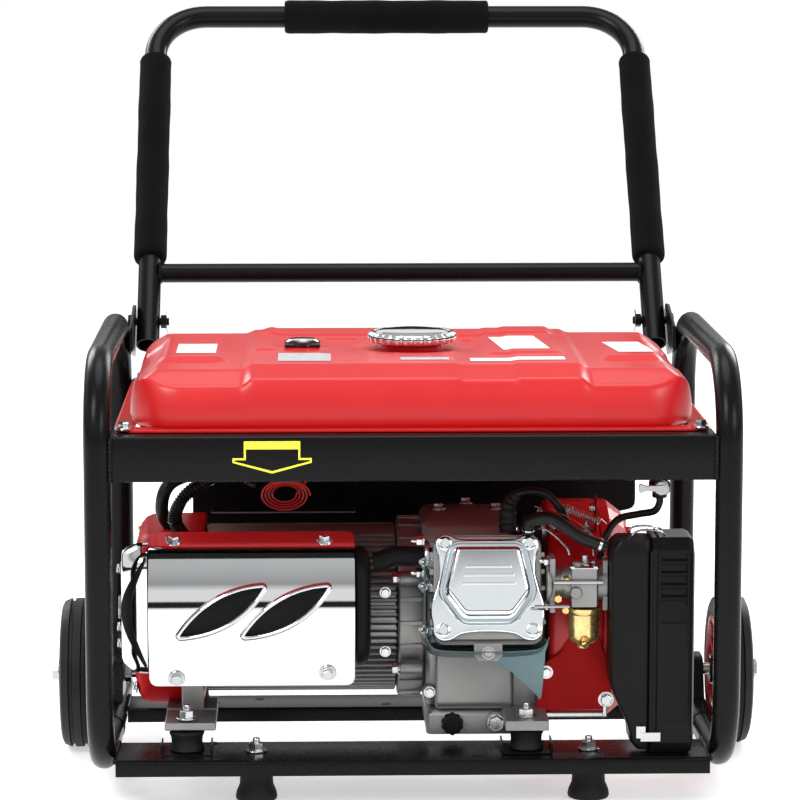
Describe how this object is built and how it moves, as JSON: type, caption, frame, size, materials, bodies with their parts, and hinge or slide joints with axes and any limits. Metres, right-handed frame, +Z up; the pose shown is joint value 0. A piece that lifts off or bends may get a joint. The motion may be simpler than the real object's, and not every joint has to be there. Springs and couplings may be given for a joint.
{
  "type": "portable generator",
  "caption": "Open-frame portable petrol generator: tube frame, fuel tank, air-cooled engine, alternator, two wheels and a fold-down handle.",
  "frame": {"origin": "on the floor below the middle of the machine with its handle raised", "axes": "+Z up, +X along the crankshaft from alternator to recoil starter, +Y from the engine side to the control-panel side"},
  "size_m": [0.7166, 0.7296, 0.7405],
  "materials": {
    "black_frame_paint": "satin powder coat",
    "rubber": "matte",
    "zinc_bolts": "zinc plated",
    "tyre_rubber": "moulded",
    "red_plastic": "moulded",
    "foam_grip": "foam sleeve",
    "red_paint": "gloss paint",
    "chrome": "polished",
    "valve_cover_zinc": "bright pressed",
    "cast_aluminium": "cast",
    "steel": "machined",
    "muffler_black": "heat-proof paint",
    "gold_zinc": "yellow passivated",
    "black_plastic": "moulded"
  },
  "bodies": {
    "frame": {"hoop_left": "black_frame_paint", "hoop_right": "black_frame_paint", "tank_beam_near": "black_frame_paint", "tank_beam_far": "black_frame_paint", "base_channel_near": "black_frame_paint", "base_channel_far": "black_frame_paint", "wheel_bracket_left": "black_frame_paint", "wheel_bracket_right": "black_frame_paint", "handle_bracket_left": "black_frame_paint", "handle_bracket_right": "black_frame_paint", "foot_left": "rubber", "foot_right": "rubber", "isolator_near_left": "rubber", "isolator_near_right": "rubber", "isolator_far_left": "rubber", "isolator_far_right": "rubber", "spark_lead": "rubber", "breather_hose": "rubber", "axle_bolt_left": "zinc_bolts", "axle_bolt_right": "zinc_bolts", "fuel_tank": "red_paint", "blower_housing": "red_paint", "recoil_cover": "red_paint", "end_cover": "red_paint", "muffler_shield": "chrome", "valve_cover": "valve_cover_zinc", "crankcase": "cast_aluminium", "cylinder": "cast_aluminium", "carburettor": "cast_aluminium", "stator_housing": "cast_aluminium", "end_bell": "cast_aluminium", "fuel_valve_body": "cast_aluminium", "exhaust_pipe": "steel", "muffler_body": "muffler_black", "float_bowl": "gold_zinc", "fuel_gauge": "black_plastic", "filter_base": "black_plastic", "filter_cover": "black_plastic", "panel_box": "black_plastic", "outlet_plate": "black_plastic"},
    "wheel_left": {"tyre_left": "tyre_rubber", "rim_left": "red_plastic"},
    "wheel_right": {"tyre_right": "tyre_rubber", "rim_right": "red_plastic"},
    "handle": {"handle_tube": "black_frame_paint", "grip_left": "foam_grip", "grip_right": "foam_grip", "grip_top": "foam_grip"},
    "lock_pin_left": {"lock_pin_left": "zinc_bolts"},
    "lock_pin_right": {"lock_pin_right": "zinc_bolts"},
    "cap_insert": {"cap_insert": "rubber"},
    "cap_shell": {"cap_shell": "chrome"},
    "crank": {"crank_rotor": "steel", "flywheel_fan": "steel"},
    "starter_grip": {"starter_grip": "black_plastic"},
    "choke_lever": {"choke_lever": "zinc_bolts"},
    "fuel_valve_lever": {"fuel_valve_lever": "black_plastic"},
    "engine_switch": {"engine_switch": "red_plastic"},
    "breaker_button": {"breaker_button": "black_plastic"},
    "dipstick": {"dipstick": "black_plastic"}
  },
  "joints": [
    {"name": "wheel_left_spin", "type": "hinge", "parent": "frame", "child": "wheel_left", "pos_m": [-0.3285, -0.0801, 0.075], "axis": [1, 0, 0], "continuous": true},
    {"name": "wheel_right_spin", "type": "hinge", "parent": "frame", "child": "wheel_right", "pos_m": [0.3285, -0.0801, 0.075], "axis": [1, 0, 0], "continuous": true},
    {"name": "handle_fold", "type": "hinge", "parent": "frame", "child": "handle", "pos_m": [0, 0.0689, 0.414], "axis": [-1, 0, 0], "range_deg": [0, 118]},
    {"name": "lock_pin_left_pull", "type": "slide", "parent": "frame", "child": "lock_pin_left", "axis": [-1, 0, 0], "range_m": [0, 0.008], "stiffness_N_per_m": 500},
    {"name": "lock_pin_right_pull", "type": "slide", "parent": "frame", "child": "lock_pin_right", "axis": [1, 0, 0], "range_m": [0, 0.008], "stiffness_N_per_m": 500},
    {"name": "cap_lift", "type": "slide", "parent": "frame", "child": "cap_insert", "axis": [0, 0, 1], "range_m": [0, 0.08]},
    {"name": "cap_turn", "type": "hinge", "parent": "cap_insert", "child": "cap_shell", "pos_m": [0.004, -0.1551, 0.4215], "axis": [0, 0, -1], "range_deg": [0, 90]},
    {"name": "crank_spin", "type": "hinge", "parent": "frame", "child": "crank", "pos_m": [0, -0.1551, 0.157], "axis": [1, 0, 0], "continuous": true},
    {"name": "starter_pull", "type": "slide", "parent": "frame", "child": "starter_grip", "axis": [0, 1, 0], "range_m": [0, 0.13], "stiffness_N_per_m": 40},
    {"name": "choke_swing", "type": "hinge", "parent": "frame", "child": "choke_lever", "pos_m": [0.163, -0.3051, 0.2264], "axis": [0, 0, 1], "range_deg": [0, 60]},
    {"name": "fuel_valve_turn", "type": "hinge", "parent": "frame", "child": "fuel_valve_lever", "pos_m": [0.236, -0.2894, 0.296], "axis": [0, -1, 0], "range_deg": [0, 90]},
    {"name": "engine_switch_rock", "type": "hinge", "parent": "frame", "child": "engine_switch", "pos_m": [-0.12, 0.0299, 0.265], "axis": [1, 0, 0], "range_deg": [0, 18]},
    {"name": "breaker_press", "type": "slide", "parent": "frame", "child": "breaker_button", "axis": [0, -1, 0], "range_m": [0, 0.003], "stiffness_N_per_m": 800},
    {"name": "dipstick_unscrew", "type": "hinge", "parent": "frame", "child": "dipstick", "pos_m": [0.04, -0.2534, 0.0615], "axis": [0, -1, 0], "range_deg": [0, 360]}
  ]
}
